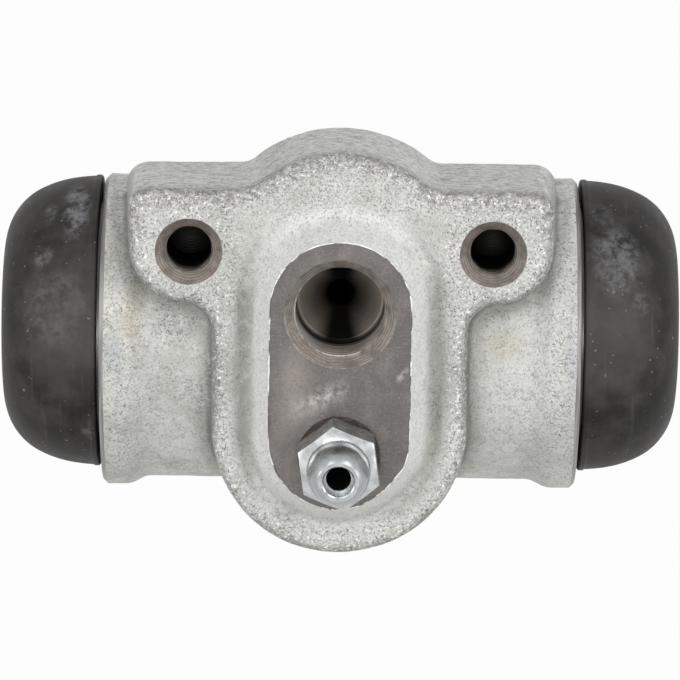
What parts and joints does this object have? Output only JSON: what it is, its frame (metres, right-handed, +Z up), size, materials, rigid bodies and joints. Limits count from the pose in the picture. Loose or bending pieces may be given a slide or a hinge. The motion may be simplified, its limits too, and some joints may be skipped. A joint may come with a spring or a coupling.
{
  "type": "drum brake wheel cylinder",
  "caption": "Double-ended drum brake wheel cylinder: cast barrel with mounting ears, inlet port, bleeder screw, rubber dust boots and spring-loaded pistons that push the shoes apart",
  "frame": {"origin": "midway between the two bolt holes, on the plane of the mounting face", "axes": "+X along the bore to the right seen from the mounting side, -Y out of the mounting face, +Z up as in the picture, from the bleeder screw to the inlet port"},
  "size_m": [0.0774, 0.0499, 0.0476],
  "materials": {
    "zinc_casting": "zinc plated, as cast, speckled",
    "zinc_steel": "bright zinc plated, turned",
    "piston_alloy": "anodised, turned",
    "cup_rubber": "moulded",
    "pressed_steel": "pressed sheet",
    "spring_steel": "drawn wire",
    "boot_rubber": "moulded, dusty"
  },
  "bodies": {
    "cylinder": {"cylinder_body": "zinc_casting", "left_boot": "boot_rubber", "right_boot": "boot_rubber", "return_spring": "spring_steel"},
    "left_piston_set": {"left_piston": "piston_alloy", "left_cup": "cup_rubber", "left_expander": "pressed_steel"},
    "right_piston_set": {"right_piston": "piston_alloy", "right_cup": "cup_rubber", "right_expander": "pressed_steel"},
    "bleeder": {"bleeder_screw": "zinc_steel"}
  },
  "joints": [
    {"name": "left_piston_slide", "type": "slide", "parent": "cylinder", "child": "left_piston_set", "axis": [-1, 0, 0], "range_m": [-0.003, 0.005], "stiffness_N_per_m": 800, "deforming": ["left_boot", "return_spring"]},
    {"name": "right_piston_slide", "type": "slide", "parent": "cylinder", "child": "right_piston_set", "axis": [1, 0, 0], "range_m": [-0.003, 0.005], "stiffness_N_per_m": 800, "deforming": ["right_boot", "return_spring"]},
    {"name": "bleeder_turn", "type": "hinge", "parent": "cylinder", "child": "bleeder", "pos_m": [0, -0.0034, -0.0226], "axis": [0, -1, 0], "range_deg": [0, 180]}
  ]
}
